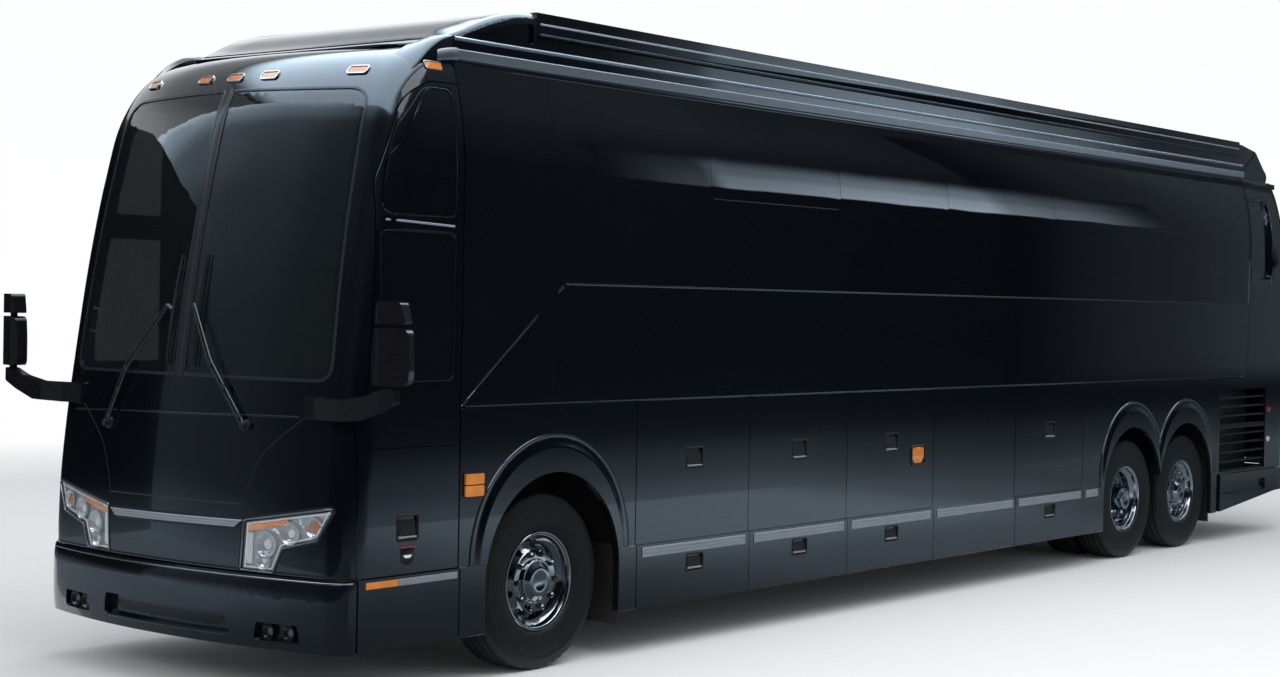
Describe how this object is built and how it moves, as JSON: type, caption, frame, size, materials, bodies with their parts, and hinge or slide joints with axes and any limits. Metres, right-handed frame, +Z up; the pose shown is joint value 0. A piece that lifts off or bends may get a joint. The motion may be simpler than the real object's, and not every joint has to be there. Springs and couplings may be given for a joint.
{
  "type": "coach bus",
  "caption": "Three-axle coach bus with steered front wheels, twin drive tyres, a tag axle, opening luggage, engine and entrance doors and a hollow saloon.",
  "frame": {"origin": "on the ground under the middle of the coach", "axes": "+Z up, the nose towards -Y, the driver side (left of travel) towards +X"},
  "size_m": [3.5166, 13.7194, 3.93],
  "materials": {
    "black_paint": "deep gloss black coach paint",
    "dark_glass": "dark tinted glass",
    "clear_lens": "clear lamp lens over bright reflectors",
    "amber_lens": "amber lamp lens",
    "red_lens": "red lamp lens",
    "polished_wheel": "dark polished wheel metal",
    "silver_trim": "silver-grey trim strip",
    "chassis_steel": "satin black chassis paint",
    "engine_casting": "painted casting",
    "black_plastic": "grained black plastic",
    "flap_rubber": "black rubber sheet",
    "tyre_rubber": "black tyre rubber",
    "seat_leather": "dark grey leather"
  },
  "bodies": {
    "coach": {"cab_seats": "seat_leather", "cab_side_panel": "black_paint", "chassis_frame": "chassis_steel", "dashboard": "black_plastic", "drive_axle": "chassis_steel", "engine_block": "engine_casting", "entrance_steps": "chassis_steel", "floor_structure": "chassis_steel", "front_axle": "chassis_steel", "front_bumper": "black_paint", "front_cap": "black_paint", "front_trim": "silver_trim", "headlamps": "clear_lens", "lower_side_panels": "black_paint", "marker_lamps": "amber_lens", "mirrors": "black_paint", "mudflaps": "flap_rubber", "rear_bumper": "black_paint", "rear_cap": "black_paint", "rear_window": "dark_glass", "roof": "black_paint", "roof_fairing": "black_paint", "roof_rails": "silver_trim", "roof_tail": "black_paint", "side_glass": "dark_glass", "side_grilles": "black_plastic", "side_walls": "black_paint", "steering_wheel": "black_plastic", "tag_axle": "chassis_steel", "tail_lamps": "red_lens", "wheel_arch_flares": "black_paint", "windshield": "dark_glass", "wipers": "black_plastic"},
    "bay_door_left_1": {"bay_door_left_1": "black_paint"},
    "bay_door_right_1": {"bay_door_right_1": "black_paint"},
    "bay_door_left_2": {"bay_door_left_2": "black_paint"},
    "bay_door_right_2": {"bay_door_right_2": "black_paint"},
    "bay_door_left_3": {"bay_door_left_3": "black_paint"},
    "bay_door_right_3": {"bay_door_right_3": "black_paint"},
    "bay_door_left_4": {"bay_door_left_4": "black_paint"},
    "bay_door_right_4": {"bay_door_right_4": "black_paint"},
    "entrance_door": {"entrance_door": "black_paint", "entrance_door_glass": "dark_glass"},
    "service_door": {"service_door": "black_paint"},
    "engine_door": {"engine_door": "black_paint"},
    "knuckle_left": {"knuckle_left": "chassis_steel"},
    "front_wheel_left": {"front_tyre_left": "tyre_rubber", "front_wheel_left": "polished_wheel"},
    "drive_wheel_left": {"drive_tyre_left": "tyre_rubber", "drive_wheel_left": "polished_wheel"},
    "tag_wheel_left": {"tag_tyre_left": "tyre_rubber", "tag_wheel_left": "polished_wheel"},
    "knuckle_right": {"knuckle_right": "chassis_steel"},
    "front_wheel_right": {"front_tyre_right": "tyre_rubber", "front_wheel_right": "polished_wheel"},
    "drive_wheel_right": {"drive_tyre_right": "tyre_rubber", "drive_wheel_right": "polished_wheel"},
    "tag_wheel_right": {"tag_tyre_right": "tyre_rubber", "tag_wheel_right": "polished_wheel"}
  },
  "joints": [
    {"name": "steer_left", "type": "hinge", "parent": "coach", "child": "knuckle_left", "pos_m": [1, -5, 0.53], "axis": [0, 0, 1], "range_deg": [-45, 45]},
    {"name": "front_spin_left", "type": "hinge", "parent": "knuckle_left", "child": "front_wheel_left", "pos_m": [1.087, -5, 0.53], "axis": [1, 0, 0], "continuous": true},
    {"name": "drive_spin_left", "type": "hinge", "parent": "coach", "child": "drive_wheel_left", "pos_m": [1.087, 3.026, 0.53], "axis": [1, 0, 0], "continuous": true},
    {"name": "tag_spin_left", "type": "hinge", "parent": "coach", "child": "tag_wheel_left", "pos_m": [1.087, 4.226, 0.53], "axis": [1, 0, 0], "continuous": true},
    {"name": "steer_right", "type": "hinge", "parent": "coach", "child": "knuckle_right", "pos_m": [-1, -5, 0.53], "axis": [0, 0, 1], "range_deg": [-45, 45]},
    {"name": "front_spin_right", "type": "hinge", "parent": "knuckle_right", "child": "front_wheel_right", "pos_m": [-1.087, -5, 0.53], "axis": [1, 0, 0], "continuous": true},
    {"name": "drive_spin_right", "type": "hinge", "parent": "coach", "child": "drive_wheel_right", "pos_m": [-1.087, 3.026, 0.53], "axis": [1, 0, 0], "continuous": true},
    {"name": "tag_spin_right", "type": "hinge", "parent": "coach", "child": "tag_wheel_right", "pos_m": [-1.087, 4.226, 0.53], "axis": [1, 0, 0], "continuous": true},
    {"name": "bay_hinge_left_1", "type": "hinge", "parent": "coach", "child": "bay_door_left_1", "pos_m": [1.285, -3.555, 1.594], "axis": [0, -1, 0], "range_deg": [0, 85]},
    {"name": "bay_hinge_right_1", "type": "hinge", "parent": "coach", "child": "bay_door_right_1", "pos_m": [-1.285, -3.555, 1.594], "axis": [0, 1, 0], "range_deg": [0, 85]},
    {"name": "bay_hinge_left_2", "type": "hinge", "parent": "coach", "child": "bay_door_left_2", "pos_m": [1.285, -2.335, 1.594], "axis": [0, -1, 0], "range_deg": [0, 85]},
    {"name": "bay_hinge_right_2", "type": "hinge", "parent": "coach", "child": "bay_door_right_2", "pos_m": [-1.285, -2.335, 1.594], "axis": [0, 1, 0], "range_deg": [0, 85]},
    {"name": "bay_hinge_left_3", "type": "hinge", "parent": "coach", "child": "bay_door_left_3", "pos_m": [1.285, -1.115, 1.594], "axis": [0, -1, 0], "range_deg": [0, 85]},
    {"name": "bay_hinge_right_3", "type": "hinge", "parent": "coach", "child": "bay_door_right_3", "pos_m": [-1.285, -1.115, 1.594], "axis": [0, 1, 0], "range_deg": [0, 85]},
    {"name": "bay_hinge_left_4", "type": "hinge", "parent": "coach", "child": "bay_door_left_4", "pos_m": [1.285, 1.415, 1.594], "axis": [0, -1, 0], "range_deg": [0, 85]},
    {"name": "bay_hinge_right_4", "type": "hinge", "parent": "coach", "child": "bay_door_right_4", "pos_m": [-1.285, 1.415, 1.594], "axis": [0, 1, 0], "range_deg": [0, 85]},
    {"name": "entrance_hinge", "type": "hinge", "parent": "coach", "child": "entrance_door", "pos_m": [-1.287, -6.567, 0.48], "axis": [0, 0, 1], "range_deg": [0, 85]},
    {"name": "service_hinge", "type": "hinge", "parent": "coach", "child": "service_door", "pos_m": [1.275, -6.567, 0.85], "axis": [0, 0, -1], "range_deg": [0, 85]},
    {"name": "engine_door_hinge", "type": "hinge", "parent": "coach", "child": "engine_door", "pos_m": [0, 6.8565, 1.557], "axis": [1, 0, 0], "range_deg": [0, 80]}
  ],
  "couplings": [
    {"joint": "steer_right", "follows": "steer_left", "ratio": 1}
  ]
}
